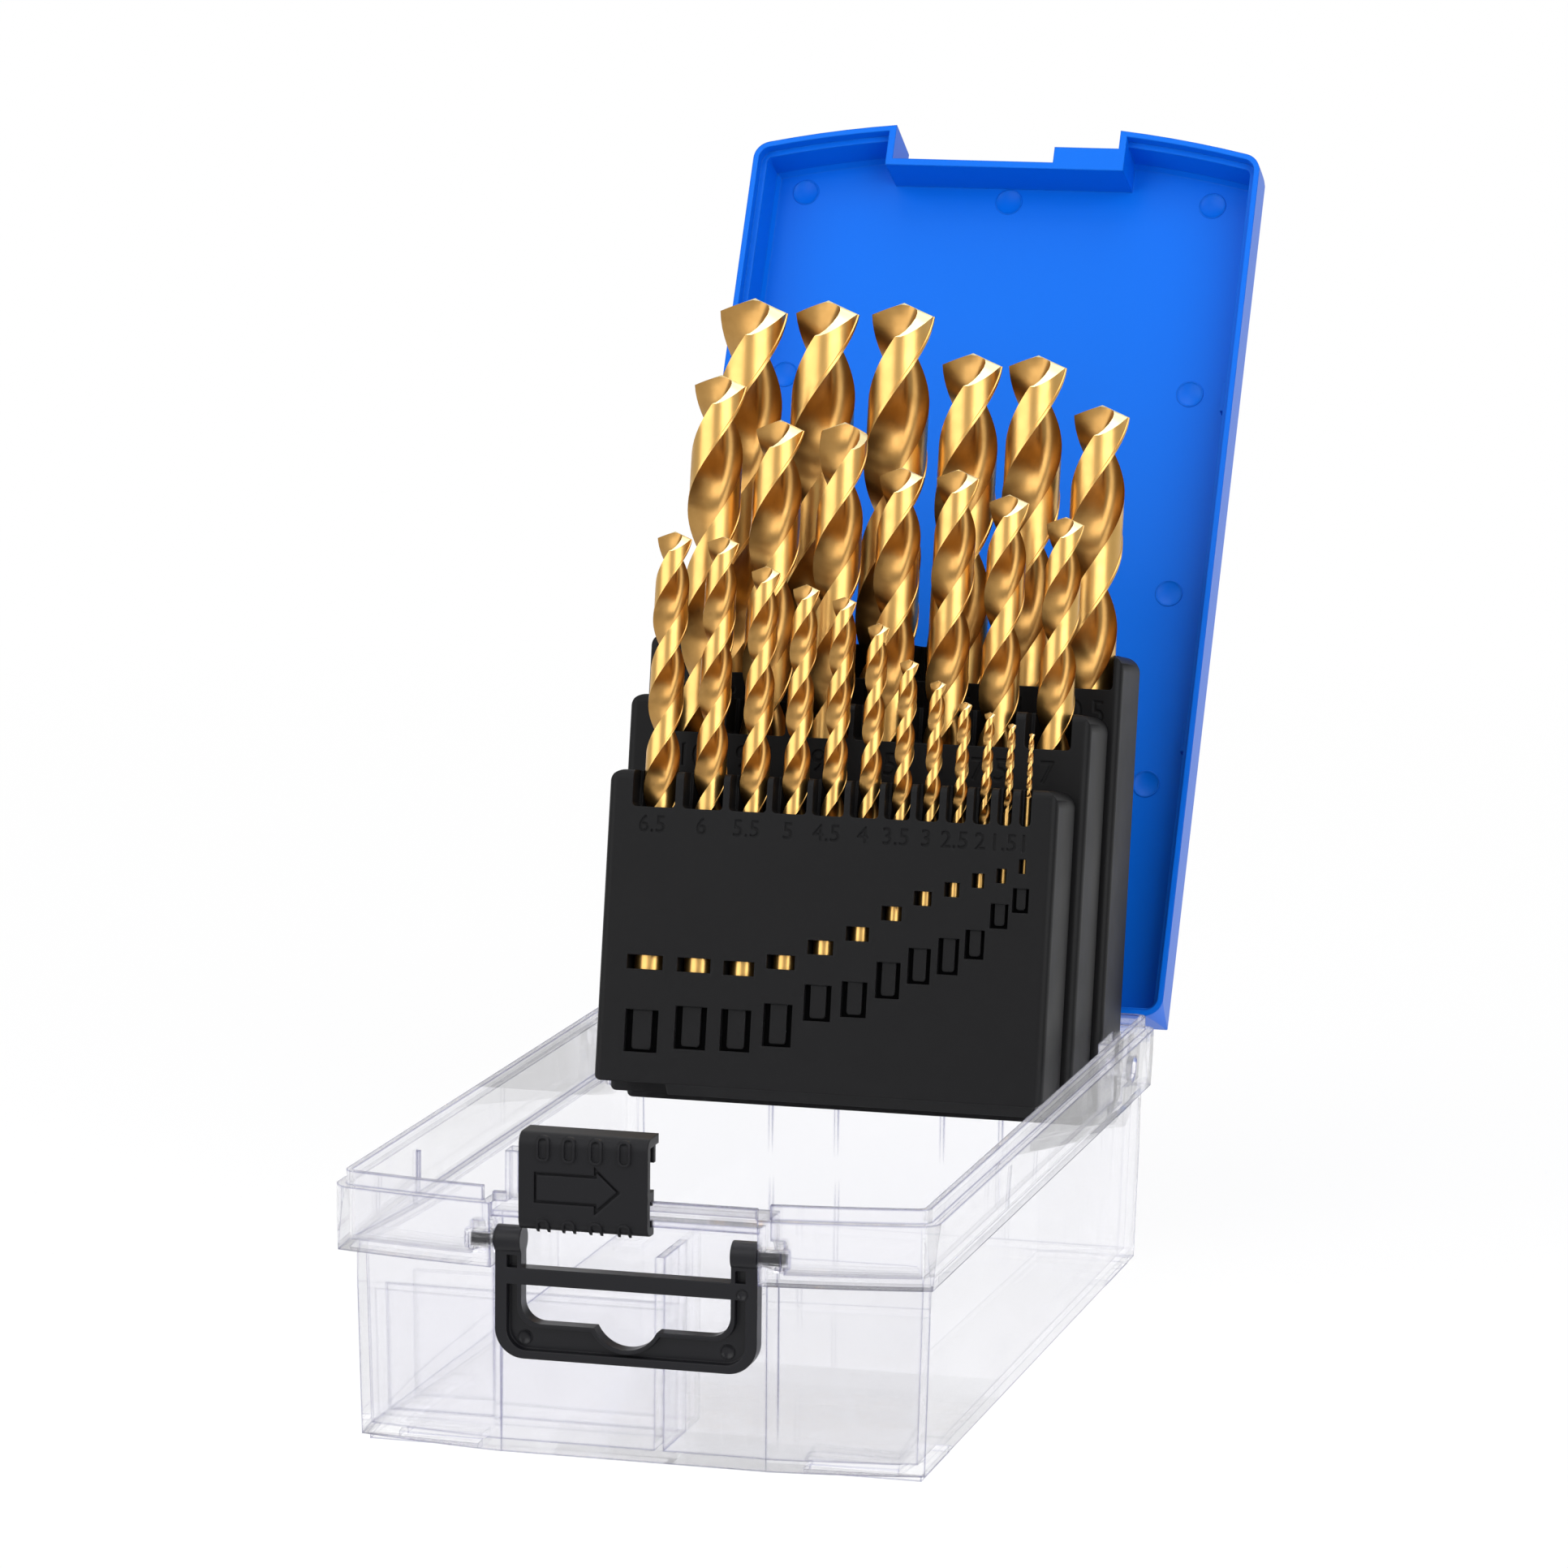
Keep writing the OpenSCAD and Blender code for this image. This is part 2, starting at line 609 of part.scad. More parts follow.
module carry_handle() {
    half = handle_w / 2;
    inner = half - handle_bar;
    bottom_z = handle_z + handle_top - handle_h;
    face_y = handle_y - handle_t / 2;
    bar_shares = [0.565, 0.69];
    bar_z = [for (k = bar_shares) bottom_z + k * handle_h];
    opening_share = 0.272;
    opening_z = bottom_z + opening_share * handle_h;
    out_r = 1.1 * handle_bar;
    in_r = 0.8 * handle_bar;
    thumb_r = 6;
    thumb_up = 2.6;
    // the hollow in the front, inside its rims
    rim = [2, 1.4];
    inner_rim = 0.7;
    pocket_t = handle_t / 2;
    color([0.12, 0.12, 0.13]) {
        difference() {
            upright(handle_y + handle_t / 2, handle_t) difference() {
                loop(half, bottom_z, handle_z, out_r);
                // space between the ears
                translate([-inner, bar_z[1]]) square([2 * inner, handle_h]);
                intersection() {
                    union() {
                        loop(inner, opening_z, bar_z[0], in_r);
                        translate([0, opening_z + thumb_up]) circle(thumb_r);
                    }
                    translate([-half, bottom_z]) square([2 * half, bar_z[0] - bottom_z]);
                }
            }
            upright(face_y + pocket_t, pocket_t + over) difference() {
                loop(half - rim[0], bottom_z + rim[1], bar_z[0], out_r - rim[1]);
                loop(inner + inner_rim, opening_z - inner_rim, bar_z[0] + over, in_r);
                translate([0, opening_z + thumb_up]) circle(thumb_r + inner_rim);
            }
            // pockets between the ears' knobs and the cross bar
            for (m = [0, 1]) mirror([m, 0, 0])
                block([inner + inner_rim, half - rim[0]], [face_y - over, face_y + pocket_t],
                    [bar_z[1], handle_z - handle_top]);
        }
        // ears round the pegs' axis, and the pegs
        for (m = [0, 1]) mirror([m, 0, 0]) {
            bar(inner, half, handle_y, handle_z, 2 * handle_top);
            bar(half - over, recess_w / 2 + peg_l - fit, handle_y, handle_z, peg_d);
        }
    }
}

// A flat shape between two heights with two round lower corners
module loop(half, z0, z1, r) {
    translate([-half, z0 + r]) square([2 * half, z1 - z0 - r]);
    translate([r - half, z0]) square([2 * (half - r), r + fit]);
    for (x = [r - half, half - r]) translate([x, z0 + r]) circle(r);
}

// Places its children from the magazine's own frame, x across, c back and s up, into the case
module standing() {
    translate([0, pivot_y, pivot_z]) rotate([-stand_lean, 0, 0]) translate([0, -pivot_c, -pivot_s])
        children();
}

module pivot_pins() {
    color("silver") for (m = [0, 1]) mirror([m, 0, 0])
        bar(back_half - pin_in + fit, case_w / 2 - inner_inset - fit, pivot_y, pivot_z, pivot_d);
}

// One holder: its body between two depths and two heights, and its row of drills
module holder(half, c0, depth, s0, s1, places, d0, seats) {
    n = len(places);
    notch_h = 6.7;
    notch_r = 0.8;
    notch_share = 1.1;
    notch_least = 1;
    edge = holder_r / 2;
    difference() {
        intersection() {
            block([-half, half], [c0, c0 + depth], [s0, s1]);
            // rounded top and bottom corners
            upright(c0 + depth + over, depth + 2 * over) union() {
                translate([-half, s0 + edge]) square([2 * half, s1 - s0 - holder_r - edge]);
                translate([holder_r - half, s0]) square([2 * (half - holder_r), s1 - s0]);
                translate([edge - half, s0]) square([2 * (half - edge), holder_r]);
                for (x = [holder_r - half, half - holder_r]) translate([x, s1 - holder_r]) circle(holder_r);
                for (x = [edge - half, half - edge]) translate([x, s0 + edge]) circle(edge);
            }
            // rounded front edges, seen from above
            translate([0, 0, s0]) linear_extrude(s1 - s0) union() {
                translate([-half, c0 + edge]) square([2 * half, depth - edge]);
                translate([edge - half, c0]) square([2 * (half - edge), depth]);
                for (x = [edge - half, half - edge]) translate([x, c0 + edge]) circle(edge);
            }
            // rounded front top edge, seen from the side
            translate([-half - over, 0, 0]) rotate([90, 0, 90]) linear_extrude(2 * (half + over)) union() {
                translate([c0, s0]) square([depth, s1 - s0 - edge]);
                translate([c0 + edge, s0]) square([depth - edge, s1 - s0]);
                translate([c0 + edge, s1 - edge]) circle(edge);
            }
        }
        for (i = [0:n - 1]) {
            d = d0 - i * drill_step;
            x = half * places[i];
            c = c0 + skin_t + d / 2;
            notch = notch_share * d + notch_least;
            // hole of the drill, open at the top
            translate([x, c, seats[i]]) cylinder(h = s1 - seats[i] + over, d = d + 2 * hole_clear);
            // notch in front of it
            block([x - notch / 2, x + notch / 2], [c0 - over, c], [s1 - notch_h + notch_r, s1 + over]);
            block([x - notch / 2 + notch_r, x + notch / 2 - notch_r], [c0 - over, c],
                [s1 - notch_h, s1 + over]);
            for (a = [-1, 1] * (notch / 2 - notch_r))
                translate([x + a, c, s1 - notch_h + notch_r]) rotate([90, 0, 0])
                    cylinder(h = c - c0 + over, r = notch_r);
        }
    }
}

module holder_front() {
    d0 = (drill_max / drill_step - back_n - mid_n) * drill_step;
    seats = [for (k = front_seat_shares) k * front_h];
    strip_h = 2;
    strip_in = 13.5;
    foot_share = 0.8;
    foot_w = 2;
    // widths of the recesses under the windows, and the tongues in them
    lower_share = 0.6;
    lower_least = 2.4;
    upper_h = 2.6;
    tongue_share = 0.58;
    tongue_in = 0.5;
    tongue_r = 0.6;
    tongue_gap = 0.5;
    recess_t = 1.1;
    color([0.14, 0.14, 0.15]) standing() {
        difference() {
            holder(front_half, 0, front_depth, 0, front_h, front_place_shares, d0, seats);
            for (i = [0:front_n - 1]) {
                d = d0 - i * drill_step;
                x = front_half * front_place_shares[i];
                upper = d + 2 * hole_clear;
                lower = lower_share * d + lower_least;
                upper_s = window_shares[i] * front_h;
                lower_s = recess_shares[i] * front_h;
                top_s = lower_s + recess_h_shares[i] * front_h;
                tongue = lower * tongue_share;
                block([x - upper / 2, x + upper / 2], [-over, skin_t + d / 2], [upper_s, upper_s + upper_h]);
                difference() {
                    block([x - lower / 2, x + lower / 2], [-over, recess_t], [lower_s, top_s]);
                    // tongue that stands out in the recess
                    block([x - tongue / 2, x + tongue / 2], [tongue_in, skin_t - hole_clear],
                        [lower_s + tongue_r + tongue_gap, top_s + over]);
                    block([x - tongue / 2 + tongue_r, x + tongue / 2 - tongue_r],
                        [tongue_in, skin_t - hole_clear], [lower_s + tongue_gap, top_s + over]);
                    for (a = [-1, 1] * (tongue / 2 - tongue_r))
                        translate([x + a, skin_t - hole_clear, lower_s + tongue_r + tongue_gap])
                            rotate([90, 0, 0]) cylinder(h = skin_t - hole_clear - tongue_in, r = tongue_r);
                }
            }
        }
        // strip under the front edge, with a slanted face
        translate([strip_in - front_half, 0, 0]) rotate([90, 0, 90])
            linear_extrude(2 * front_half - strip_in - skin_t)
                polygon([[skin_t, skin_t / 2], [skin_t, 0], [skin_t + strip_h, -strip_h],
                    [front_depth / 2, -strip_h], [front_depth / 2, skin_t / 2]]);
        // feet that seat on the middle holder
        for (x = [-1, 1] * front_half * foot_share)
            block([x - foot_w, x + foot_w], [front_depth - over, mid_c], [front_h / 3, front_h / 2]);
    }
}

module holder_middle() {
    d0 = (drill_max / drill_step - back_n) * drill_step;
    rise = mid_top + mid_drop;
    seats = [for (k = mid_seat_shares) k * rise - mid_drop + seat_t];
    foot_w = 2;
    foot_share = 0.93;
    color([0.14, 0.14, 0.15]) standing() {
        holder(mid_half, mid_c, mid_depth, -mid_drop, mid_top, mid_place_shares, d0, seats);
        for (x = [-1, 1] * mid_half * foot_share)
            block([x - foot_w, x + foot_w], [back_c - holder_gap - over, back_c],
                [front_h / 3, front_h / 2]);
    }
}

module holder_back() {
    seats = [for (k = back_place_shares) seat_t - back_drop];
    color([0.14, 0.14, 0.15]) standing() difference() {
        holder(back_half, back_c, back_depth, -back_drop, back_top, back_place_shares, drill_max, seats);
        // chamfer that clears the rear wall as the magazine turns
        translate([-back_half - over, 0, 0]) rotate([90, 0, 90]) linear_extrude(2 * (back_half + over))
            polygon([[stack_c - rear_chamfer - over, -back_drop - over], [stack_c + over, -back_drop - over],
                [stack_c + over, rear_chamfer + over - back_drop]]);
        // bores of the pivot pins
        for (m = [0, 1]) mirror([m, 0, 0])
            translate([back_half - pin_in, pivot_c, pivot_s]) rotate([0, 90, 0])
                cylinder(h = pin_in + over, d = pivot_d + 2 * fit);
    }
}

// Cross-section of a twist drill: two lands and two flutes
module flute_profile(r) {
    web = r * web_share;
    land = land_w / 2;
    polygon([for (side = [0, 180], p = [[-land, r], [0, r], [land, r], [90, web]])
        p[1] * [cos(side + p[0]), sin(side + p[0])]]);
}

// One drill, standing on its shank's end: the shank is round, and the rest is twisted
module twist_drill(d, len) {
    r = d / 2;
    cut = flute(len);
    point = r / tan(point_angle / 2);
    pitch = d * PI / tan(helix);
    turn = 360 * (cut - point) / pitch;
    step_angle = 60;
    steps = ceil(turn / step_angle);
    tip_share = 0.12;
    cylinder(h = len - cut + fit, r = r);
    translate([0, 0, len - cut])
        linear_extrude(cut - point, twist = -turn, slices = steps, segments = 8)
            flute_profile(r * body_share);
    translate([0, 0, len - point - fit]) rotate([0, 0, turn])
        linear_extrude(point + fit, scale = tip_share, segments = 8) flute_profile(r * point_share);
}

// The drill with one place in the whole set, counted from the thickest
module drill(i) {
    row = i < back_n ? 0 : i < back_n + mid_n ? 1 : 2;
    k = i - (row == 0 ? 0 : row == 1 ? back_n : back_n + mid_n);
    half = [back_half, mid_half, front_half][row];
    place = [back_place_shares, mid_place_shares, front_place_shares][row][k];
    share = [back_len_shares, mid_len_shares, front_len_shares][row][k];
    face = [back_c, mid_c, 0][row];
    seat = row == 0 ? seat_t - back_drop
        : row == 1 ? mid_seat_shares[k] * (mid_top + mid_drop) - mid_drop + seat_t
        : front_seat_shares[k] * front_h;
    d = drill_max - i * drill_step;
    color([0.83, 0.62, 0.25]) standing()
        translate([half * place, face + skin_t + d / 2, seat]) twist_drill(d, total(share));
}

base_box();
lid();
hinge_pin();
latch_slider();
carry_handle();
pivot_pins();
holder_front();
holder_middle();
holder_back();
for (i = [0:drill_n - 1]) drill(i);
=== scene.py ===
import bmesh
import bpy
import math
from mathutils import Matrix, Vector


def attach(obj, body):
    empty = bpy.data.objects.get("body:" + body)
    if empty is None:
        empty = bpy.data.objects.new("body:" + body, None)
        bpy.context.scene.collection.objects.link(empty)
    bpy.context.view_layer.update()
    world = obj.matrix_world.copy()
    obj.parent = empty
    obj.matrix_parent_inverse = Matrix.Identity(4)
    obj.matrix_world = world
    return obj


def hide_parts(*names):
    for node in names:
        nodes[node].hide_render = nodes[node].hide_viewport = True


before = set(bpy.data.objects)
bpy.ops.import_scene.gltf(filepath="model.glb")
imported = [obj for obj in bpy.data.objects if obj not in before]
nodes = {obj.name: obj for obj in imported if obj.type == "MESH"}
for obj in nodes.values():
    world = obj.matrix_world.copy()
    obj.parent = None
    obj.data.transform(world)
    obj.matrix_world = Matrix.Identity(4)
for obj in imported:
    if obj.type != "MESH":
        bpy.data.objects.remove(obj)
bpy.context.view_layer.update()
MM = 0.001

# The case stands on a plain white sweep. The camera looks down on it from the front right, through a
# long lens, as the photograph does.
EYE = Vector((289.5, -1138.2, 281.0)) * MM
YAW = math.radians(14.798)
PITCH = math.radians(10.242)
ROLL = math.radians(0.613)
ahead = Vector((-math.sin(YAW) * math.cos(PITCH), math.cos(YAW) * math.cos(PITCH), -math.sin(PITCH)))
level = Vector((math.cos(YAW), math.sin(YAW), 0))
above = level.cross(ahead)
side = level * math.cos(ROLL) + above * math.sin(ROLL)
top = above * math.cos(ROLL) - level * math.sin(ROLL)
camera = bpy.data.objects.new("camera", bpy.data.cameras.new("camera"))
camera.matrix_world = Matrix((side, top, -ahead)).transposed().to_4x4()
camera.matrix_world.translation = EYE
camera.data.sensor_width = 36
camera.data.lens = 148.72
camera.data.shift_x = 0.0036
camera.data.shift_y = 0.0904
camera.data.clip_end = 20
bpy.context.scene.collection.objects.link(camera)
bpy.context.scene.camera = camera
bpy.context.scene.view_settings.view_transform = "Standard"


def nodes_of(name):
    """A new material with its shader, for one finish."""
    material = bpy.data.materials.new(name)
    material.use_nodes = True
    tree = material.node_tree
    return material, tree, tree.nodes["Principled BSDF"]


def add(tree, kind, **settings):
    """A shader node with some of its sockets or properties set."""
    node = tree.nodes.new(kind)
    for key, value in settings.items():
        if hasattr(node, key):
            setattr(node, key, value)
        else:
            node.inputs[key.replace("_", " ")].default_value = value
    return node


# Floor: a wide sheet of white paper under the case. It keeps the case's soft shadow and fades to plain
# white away from it.
REACH = 4
floor_mesh = bpy.data.meshes.new("floor")
floor_mesh.from_pydata([(-REACH, -REACH, 0), (REACH, -REACH, 0), (REACH, REACH, 0), (-REACH, REACH, 0)], [],
                       [(0, 1, 2, 3)])
floor = bpy.data.objects.new("floor", floor_mesh)
bpy.context.scene.collection.objects.link(floor)
floor_paint, tree, shader = nodes_of("floor_paper")
shader.inputs["Base Color"].default_value = (0.93, 0.93, 0.935, 1)
shader.inputs["Roughness"].default_value = 0.9
shader.inputs["Specular IOR Level"].default_value = 0.0
white = add(tree, "ShaderNodeEmission", Color=(1, 1, 1, 1), Strength=1.0)
ray = add(tree, "ShaderNodeLightPath")
through = add(tree, "ShaderNodeMath", operation="MAXIMUM")
mirrored = add(tree, "ShaderNodeMath", operation="MAXIMUM")
seen = add(tree, "ShaderNodeMath", operation="MULTIPLY")
fade = add(tree, "ShaderNodeMapRange")
fade.inputs["From Min"].default_value = 0.25
fade.inputs["From Max"].default_value = 0.9
fade.inputs["To Min"].default_value = 0.9
fade.inputs["To Max"].default_value = 1.0
place = add(tree, "ShaderNodeTexCoord")
far = add(tree, "ShaderNodeVectorMath", operation="LENGTH")
blend = add(tree, "ShaderNodeMixShader")
tree.links.new(place.outputs["Object"], far.inputs[0])
tree.links.new(far.outputs["Value"], fade.inputs["Value"])
tree.links.new(fade.outputs[0], seen.inputs[1])
tree.links.new(ray.outputs["Is Camera Ray"], through.inputs[0])
tree.links.new(ray.outputs["Is Transmission Ray"], through.inputs[1])
tree.links.new(through.outputs[0], mirrored.inputs[0])
tree.links.new(ray.outputs["Is Glossy Ray"], mirrored.inputs[1])
tree.links.new(mirrored.outputs[0], seen.inputs[0])
tree.links.new(seen.outputs[0], blend.inputs[0])
tree.links.new(shader.outputs[0], blend.inputs[1])
tree.links.new(white.outputs[0], blend.inputs[2])
tree.links.new(blend.outputs[0], tree.nodes["Material Output"].inputs["Surface"])
floor_mesh.materials.append(floor_paint)

# Room: pale grey walls round the case, which look white behind it and through it, and four softboxes,
# two in front of it, one above it and a weak one behind it.
world = bpy.data.worlds.new("studio")
world.use_nodes = True
bpy.context.scene.world = world
tree = world.node_tree
room = tree.nodes["Background"]
room.inputs["Color"].default_value = (1, 1, 1, 1)
room.inputs["Strength"].default_value = 0.32
paper = add(tree, "ShaderNodeBackground", Color=(1, 1, 1, 1), Strength=1.0)
ray = add(tree, "ShaderNodeLightPath")
through = add(tree, "ShaderNodeMath", operation="MAXIMUM")
mirrored = add(tree, "ShaderNodeMath", operation="MULTIPLY")
mirrored.inputs[1].default_value = 0.35
either = add(tree, "ShaderNodeMath", operation="MAXIMUM")
mixed = add(tree, "ShaderNodeMixShader")
tree.links.new(ray.outputs["Is Camera Ray"], through.inputs[0])
tree.links.new(ray.outputs["Is Transmission Ray"], through.inputs[1])
tree.links.new(ray.outputs["Is Glossy Ray"], mirrored.inputs[0])
tree.links.new(through.outputs[0], either.inputs[0])
tree.links.new(mirrored.outputs[0], either.inputs[1])
tree.links.new(either.outputs[0], mixed.inputs[0])
tree.links.new(room.outputs[0], mixed.inputs[1])
tree.links.new(paper.outputs[0], mixed.inputs[2])
tree.links.new(mixed.outputs[0], tree.nodes["World Output"].inputs["Surface"])


def softbox(name, turn, height, reach, width, tall, power):
    """An area lamp that stands at a turn from the camera's side and faces the case."""
    place = Vector((reach * math.sin(turn), -reach * math.cos(turn), height))
    lamp = bpy.data.lights.new(name, "AREA")
    lamp.shape = "RECTANGLE"
    lamp.size = width
    lamp.size_y = tall
    lamp.energy = power
    obj = bpy.data.objects.new(name, lamp)
    obj.location = place
    obj.rotation_euler = (Vector((0, 0, 0.1)) - place).to_track_quat("-Z", "Y").to_euler()
    bpy.context.scene.collection.objects.link(obj)


softbox("right_softbox", math.radians(46), 0.75, 1.7, 1.4, 2.0, 26)
softbox("left_softbox", math.radians(-42), 0.9, 1.8, 2.0, 2.0, 25)
softbox("top_softbox", math.radians(10), 2.0, 0.3, 1.4, 1.4, 14)
softbox("back_softbox", math.radians(172), 1.7, 1.3, 1.6, 1.0, 7)


# Base box: one thin moulding of clear, slightly lilac polystyrene, which stands on low feet and holds
# everything else. Its edges carry darker lilac lines of painted shade, for where the wall is seen end on.
def dressed(name, material):
    """Gives a CAD piece its finish."""
    slots = nodes[name].data.materials
    slots.clear()
    slots.append(material)


clear, tree, shader = nodes_of("clear_polystyrene")
shader.inputs["Roughness"].default_value = 0.0
shader.inputs["IOR"].default_value = 1.45
shader.inputs["Transmission Weight"].default_value = 1.0
place = add(tree, "ShaderNodeTexCoord")
flow = add(tree, "ShaderNodeTexNoise", Scale=14.0, Detail=2.0)
ripple = add(tree, "ShaderNodeBump", Strength=0.02, Distance=0.0004)
tree.links.new(place.outputs["Object"], flow.inputs["Vector"])
tree.links.new(flow.outputs[0], ripple.inputs["Height"])
tree.links.new(ripple.outputs["Normal"], shader.inputs["Normal"])
surface = add(tree, "ShaderNodeNewGeometry")
edge = add(tree, "ShaderNodeBevel", Radius=0.6 * MM)
edge.samples = 4
facing = add(tree, "ShaderNodeVectorMath", operation="DOT_PRODUCT")
# Painted shade: at the edges, where the bevelled normal turns from the face's own, the colour darkens to
# lilac
line = add(tree, "ShaderNodeMapRange")
line.inputs["From Min"].default_value = 0.995
line.inputs["From Max"].default_value = 0.85
tint = add(tree, "ShaderNodeMix", data_type="RGBA")
tint.inputs[6].default_value = (0.980, 0.979, 0.992, 1)
tint.inputs[7].default_value = (0.16, 0.16, 0.34, 1)
straight = add(tree, "ShaderNodeBsdfTransparent")
thin = add(tree, "ShaderNodeMixShader")
thin.inputs[0].default_value = 0.4
ray = add(tree, "ShaderNodeLightPath")
passing = add(tree, "ShaderNodeBsdfTransparent", Color=(0.93, 0.93, 0.96, 1))
blend = add(tree, "ShaderNodeMixShader")
tree.links.new(edge.outputs["Normal"], facing.inputs[0])
tree.links.new(surface.outputs["Normal"], facing.inputs[1])
tree.links.new(facing.outputs["Value"], line.inputs["Value"])
tree.links.new(line.outputs[0], tint.inputs[0])
tree.links.new(tint.outputs[2], straight.inputs["Color"])
tree.links.new(tint.outputs[2], shader.inputs["Base Color"])
tree.links.new(shader.outputs[0], thin.inputs[1])
tree.links.new(straight.outputs[0], thin.inputs[2])
tree.links.new(ray.outputs["Is Shadow Ray"], blend.inputs[0])
tree.links.new(thin.outputs[0], blend.inputs[1])
tree.links.new(passing.outputs[0], blend.inputs[2])
tree.links.new(blend.outputs[0], tree.nodes["Material Output"].inputs["Surface"])
dressed("base_box", clear)

# Hinge pin and the magazine's two pivot pins: pieces of ground steel wire. The hinge pin runs through the
# knuckles of the base and the lid, and the pivot pins stand in the base's bearing tabs.
steel, tree, shader = nodes_of("ground_steel")
shader.inputs["Base Color"].default_value = (0.62, 0.62, 0.63, 1)
shader.inputs["Metallic"].default_value = 1.0
shader.inputs["Roughness"].default_value = 0.28
dressed("hinge_pin", steel)
dressed("pivot_pins", steel)

# Three holders: black mouldings with a hole and a notch for each drill and its size below the notch.
# They are joined at their feet and turn on the pivot pins as one magazine.
def rounded(tree, shader, radius, bumps):
    """Catches the light on a moulding's edges as their small radius does, below its fine grain."""
    edge = add(tree, "ShaderNodeBevel", Radius=radius)
    edge.samples = 4
    tree.links.new(edge.outputs["Normal"], bumps.inputs["Normal"])
    tree.links.new(bumps.outputs["Normal"], shader.inputs["Normal"])


black, tree, shader = nodes_of("black_holder_plastic")
shader.inputs["Base Color"].default_value = (0.0045, 0.0045, 0.005, 1)
shader.inputs["Specular IOR Level"].default_value = 0.15
place = add(tree, "ShaderNodeTexCoord")
grain = add(tree, "ShaderNodeTexNoise", Scale=2600.0, Detail=3.0)
cloud = add(tree, "ShaderNodeTexNoise", Scale=60.0, Detail=4.0)
gloss = add(tree, "ShaderNodeMapRange")
gloss.inputs["To Min"].default_value = 0.38
gloss.inputs["To Max"].default_value = 0.56
bumps = add(tree, "ShaderNodeBump", Strength=0.12, Distance=0.00005)
tree.links.new(place.outputs["Object"], grain.inputs["Vector"])
tree.links.new(place.outputs["Object"], cloud.inputs["Vector"])
tree.links.new(cloud.outputs[0], gloss.inputs[0])
tree.links.new(gloss.outputs[0], shader.inputs["Roughness"])
tree.links.new(grain.outputs[0], bumps.inputs["Height"])
rounded(tree, shader, 0.35 * MM, bumps)
# Painted shade: a near-black colour for the floors of the front holder's recesses, which stands for the dark
# of openings
recess_painted_shade, tree, shader = nodes_of("deep_black_plastic")
shader.inputs["Base Color"].default_value = (0.0012, 0.0012, 0.0014, 1)
shader.inputs["Specular IOR Level"].default_value = 0.02
shader.inputs["Roughness"].default_value = 0.7
place = add(tree, "ShaderNodeTexCoord")
grain = add(tree, "ShaderNodeTexNoise", Scale=2600.0, Detail=3.0)
bumps = add(tree, "ShaderNodeBump", Strength=0.12, Distance=0.00005)
tree.links.new(place.outputs["Object"], grain.inputs["Vector"])
tree.links.new(grain.outputs[0], bumps.inputs["Height"])
tree.links.new(bumps.outputs["Normal"], shader.inputs["Normal"])
# Depths of those recesses and of the sunk numbers, the type size for a numeral's height, and the lean
RECESS = 1.1 * MM
SUNK = 0.22 * MM
TYPE_SCALE = 1.38
LEAN = math.radians(10)
up = Vector((0, math.sin(LEAN), math.cos(LEAN)))
back = Vector((0, math.cos(LEAN), -math.sin(LEAN)))
upright = Matrix((Vector((1, 0, 0)), up, -back)).transposed().to_4x4()


def sizes_cut(node, labels, height, down):
    """A copy of a holder with the drills' sizes sunk into its face below the notches."""
    mesh = nodes[node].data.copy()
    holder = bpy.data.objects.new(node + "_numbered", mesh)
    bpy.context.scene.collection.objects.link(holder)
    points = [Vector(v.co) for v in mesh.vertices]
    face = min(p.dot(back) for p in points)
    rim = max(p.dot(up) for p in points)
    shapes = []
    for text, x in labels:
        curve = bpy.data.curves.new("size", "FONT")
        curve.body = text
        curve.size = height * TYPE_SCALE
        curve.align_x = "CENTER"
        curve.extrude = SUNK
        curve.resolution_u = 3
        sign = bpy.data.objects.new("size", curve)
        bpy.context.scene.collection.objects.link(sign)
        place = upright.copy()
        place.translation = Vector((x, 0, 0)) + up * (rim - down - height) + back * face
        flat = bpy.data.meshes.new_from_object(sign)
        flat.transform(place)
        shapes.append(flat)
        bpy.data.objects.remove(sign)
    work = bmesh.new()
    for flat in shapes:
        work.from_mesh(flat)
    bmesh.ops.remove_doubles(work, verts=work.verts, dist=0.001 * MM)
    tool = bpy.data.meshes.new("sizes")
    work.to_mesh(tool)
    work.free()
    cutter = bpy.data.objects.new("sizes", tool)
    bpy.context.scene.collection.objects.link(cutter)
    cut = holder.modifiers.new("sizes", "BOOLEAN")
    cut.operation = "DIFFERENCE"
    cut.object = cutter
    cut.solver = "EXACT"
    result = bpy.data.meshes.new_from_object(holder.evaluated_get(bpy.context.evaluated_depsgraph_get()))
    holder.modifiers.clear()
    holder.data = result
    bpy.data.objects.remove(cutter)
    result.name = node + "_numbered"
    result.materials.clear()
    result.materials.append(black)
    result.materials.append(recess_painted_shade)
    # Painted shade: the floors of the recesses take the second, near-black material and the rest stays black
    # plastic
    for plane in result.polygons:
        deep = plane.center.dot(back) - face
        plane.material_index = int(plane.normal.dot(back) < -0.99 and abs(deep - RECESS) < 0.02 * MM)
    flat = [max(abs(p.normal.x), abs(p.normal.dot(up)), abs(p.normal.dot(back))) > 0.9999
            for p in result.polygons]
    result.set_sharp_from_angle(angle=math.radians(25))
    result.polygons.foreach_set("use_smooth", [not plane for plane in flat])
    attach(holder, "magazine")
    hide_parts(node)


def drill_spot(name):
    """Where a drill stands: its middle line's X, and its lowest and highest reach along the lean."""
    points = [Vector(v.co) for v in nodes[name].data.vertices]
    along = [p.dot(up) for p in points]
    across = [p.x for p in points]
    return (min(across) + max(across)) / 2, min(along), max(along)


